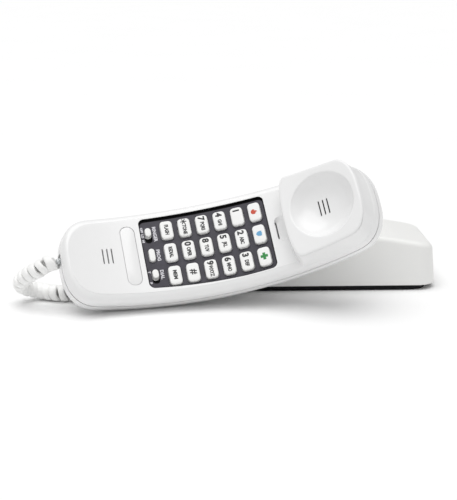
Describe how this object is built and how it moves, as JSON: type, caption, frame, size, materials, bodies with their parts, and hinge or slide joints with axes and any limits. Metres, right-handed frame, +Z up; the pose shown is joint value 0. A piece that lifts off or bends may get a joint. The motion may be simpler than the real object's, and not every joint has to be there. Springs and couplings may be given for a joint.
{
  "type": "slimline wall telephone",
  "caption": "Corded slimline telephone: curved handset with the keypad in its grip, laid off-hook against a low arched wall or desk base, with a curly cord.",
  "frame": {"origin": "centre of the base plate's underside, on the table", "axes": "+X along the base towards its earpiece end, -Y towards the front where the handset leans, +Z up"},
  "size_m": [0.2968, 0.1814, 0.1002],
  "materials": {
    "housing_white": "glossy moulded",
    "key_white": "satin moulded",
    "panel_charcoal": "fine satin",
    "black_plastic": "matt moulded",
    "grey_rubber": "matt",
    "circuit_board": "solder mask",
    "zinc_steel": "zinc plated",
    "clear_plastic": "clear moulded",
    "cord_white": "soft satin jacket"
  },
  "bodies": {
    "base": {"base_shell": "housing_white", "base_plate": "black_plastic", "foot_mouth_front": "grey_rubber", "foot_mouth_rear": "grey_rubber", "foot_ear_front": "grey_rubber", "foot_ear_rear": "grey_rubber", "screw_mouth_front": "zinc_steel", "screw_mouth_rear": "zinc_steel", "screw_ear_front": "zinc_steel", "screw_ear_rear": "zinc_steel", "plunger_spring": "zinc_steel", "hook_switch": "black_plastic", "base_board": "circuit_board", "base_ballast": "zinc_steel", "ringer_sounder": "black_plastic", "base_jack": "black_plastic", "base_plug": "clear_plastic", "line_jack": "black_plastic", "curly_cord": "cord_white"},
    "handset": {"handset_front_housing": "housing_white", "handset_back_housing": "housing_white", "keypad_panel": "panel_charcoal", "badge_plate": "housing_white", "key_mat": "grey_rubber", "handset_board": "circuit_board", "receiver_capsule": "black_plastic", "receiver_gasket": "grey_rubber", "microphone_capsule": "zinc_steel", "microphone_boot": "grey_rubber", "tone_sounder": "black_plastic", "handset_ballast": "zinc_steel", "handset_screw_mouth": "zinc_steel", "handset_screw_ear": "zinc_steel", "handset_jack": "black_plastic", "handset_plug": "clear_plastic"},
    "key_flash": {"key_flash": "key_white"},
    "key_redial": {"key_redial": "key_white"},
    "key_memory": {"key_memory": "key_white"},
    "key_star": {"key_star": "key_white"},
    "key_0": {"key_0": "key_white"},
    "key_hash": {"key_hash": "key_white"},
    "key_7": {"key_7": "key_white"},
    "key_8": {"key_8": "key_white"},
    "key_9": {"key_9": "key_white"},
    "key_4": {"key_4": "key_white"},
    "key_5": {"key_5": "key_white"},
    "key_6": {"key_6": "key_white"},
    "key_1": {"key_1": "key_white"},
    "key_2": {"key_2": "key_white"},
    "key_3": {"key_3": "key_white"},
    "key_fire": {"key_fire": "key_white"},
    "key_police": {"key_police": "key_white"},
    "key_medical": {"key_medical": "key_white"},
    "ringer_switch": {"ringer_switch": "key_white"},
    "prog_button": {"prog_button": "key_white"},
    "dial_mode_switch": {"dial_mode_switch": "key_white"},
    "hook_plunger": {"hook_plunger": "housing_white"},
    "hang_up_tab": {"hang_up_tab": "housing_white"}
  },
  "joints": [
    {"name": "handset_lift", "type": "slide", "parent": "base", "child": "handset", "axis": [0, 0, 1], "range_m": [0, 0.12], "deforming": ["curly_cord"]},
    {"name": "key_flash_press", "type": "slide", "parent": "handset", "child": "key_flash", "axis": [-0.0611, 0.7749, -0.6292], "range_m": [0, 0.0015], "stiffness_N_per_m": 400, "springref_m": -0.0005},
    {"name": "key_redial_press", "type": "slide", "parent": "handset", "child": "key_redial", "axis": [-0.0611, 0.7749, -0.6292], "range_m": [0, 0.0015], "stiffness_N_per_m": 400, "springref_m": -0.0005},
    {"name": "key_memory_press", "type": "slide", "parent": "handset", "child": "key_memory", "axis": [-0.0611, 0.7749, -0.6292], "range_m": [0, 0.0015], "stiffness_N_per_m": 400, "springref_m": -0.0005},
    {"name": "key_star_press", "type": "slide", "parent": "handset", "child": "key_star", "axis": [-0.0005, 0.783, -0.622], "range_m": [0, 0.0015], "stiffness_N_per_m": 400, "springref_m": -0.0005},
    {"name": "key_0_press", "type": "slide", "parent": "handset", "child": "key_0", "axis": [-0.0005, 0.783, -0.622], "range_m": [0, 0.0015], "stiffness_N_per_m": 400, "springref_m": -0.0005},
    {"name": "key_hash_press", "type": "slide", "parent": "handset", "child": "key_hash", "axis": [-0.0005, 0.783, -0.622], "range_m": [0, 0.0015], "stiffness_N_per_m": 400, "springref_m": -0.0005},
    {"name": "key_7_press", "type": "slide", "parent": "handset", "child": "key_7", "axis": [0.06, 0.7882, -0.6125], "range_m": [0, 0.0015], "stiffness_N_per_m": 400, "springref_m": -0.0005},
    {"name": "key_8_press", "type": "slide", "parent": "handset", "child": "key_8", "axis": [0.06, 0.7882, -0.6125], "range_m": [0, 0.0015], "stiffness_N_per_m": 400, "springref_m": -0.0005},
    {"name": "key_9_press", "type": "slide", "parent": "handset", "child": "key_9", "axis": [0.06, 0.7882, -0.6125], "range_m": [0, 0.0015], "stiffness_N_per_m": 400, "springref_m": -0.0005},
    {"name": "key_4_press", "type": "slide", "parent": "handset", "child": "key_4", "axis": [0.1203, 0.7904, -0.6006], "range_m": [0, 0.0015], "stiffness_N_per_m": 400, "springref_m": -0.0005},
    {"name": "key_5_press", "type": "slide", "parent": "handset", "child": "key_5", "axis": [0.1203, 0.7904, -0.6006], "range_m": [0, 0.0015], "stiffness_N_per_m": 400, "springref_m": -0.0005},
    {"name": "key_6_press", "type": "slide", "parent": "handset", "child": "key_6", "axis": [0.1203, 0.7904, -0.6006], "range_m": [0, 0.0015], "stiffness_N_per_m": 400, "springref_m": -0.0005},
    {"name": "key_1_press", "type": "slide", "parent": "handset", "child": "key_1", "axis": [0.1801, 0.7896, -0.5865], "range_m": [0, 0.0015], "stiffness_N_per_m": 400, "springref_m": -0.0005},
    {"name": "key_2_press", "type": "slide", "parent": "handset", "child": "key_2", "axis": [0.1801, 0.7896, -0.5865], "range_m": [0, 0.0015], "stiffness_N_per_m": 400, "springref_m": -0.0005},
    {"name": "key_3_press", "type": "slide", "parent": "handset", "child": "key_3", "axis": [0.1801, 0.7896, -0.5865], "range_m": [0, 0.0015], "stiffness_N_per_m": 400, "springref_m": -0.0005},
    {"name": "key_fire_press", "type": "slide", "parent": "handset", "child": "key_fire", "axis": [0.2393, 0.7859, -0.5702], "range_m": [0, 0.0015], "stiffness_N_per_m": 400, "springref_m": -0.0005},
    {"name": "key_police_press", "type": "slide", "parent": "handset", "child": "key_police", "axis": [0.2393, 0.7859, -0.5702], "range_m": [0, 0.0015], "stiffness_N_per_m": 400, "springref_m": -0.0005},
    {"name": "key_medical_press", "type": "slide", "parent": "handset", "child": "key_medical", "axis": [0.2393, 0.7859, -0.5702], "range_m": [0, 0.0015], "stiffness_N_per_m": 400, "springref_m": -0.0005},
    {"name": "prog_press", "type": "slide", "parent": "handset", "child": "prog_button", "axis": [-0.1245, 0.7631, -0.6341], "range_m": [0, 0.0015], "stiffness_N_per_m": 400, "springref_m": -0.0005},
    {"name": "ringer_slide", "type": "slide", "parent": "handset", "child": "ringer_switch", "axis": [0.1739, -0.6124, -0.7712], "range_m": [0, 0.004]},
    {"name": "dial_mode_slide", "type": "slide", "parent": "handset", "child": "dial_mode_switch", "axis": [0.1739, -0.6124, -0.7712], "range_m": [0, 0.003]},
    {"name": "hook_press", "type": "slide", "parent": "base", "child": "hook_plunger", "axis": [0, 0, -1], "range_m": [0, 0.005], "stiffness_N_per_m": 120, "springref_m": -0.002, "deforming": ["plunger_spring"]},
    {"name": "hang_up_tab_pull", "type": "slide", "parent": "base", "child": "hang_up_tab", "axis": [0, 0, 1], "range_m": [0, 0.008]}
  ]
}
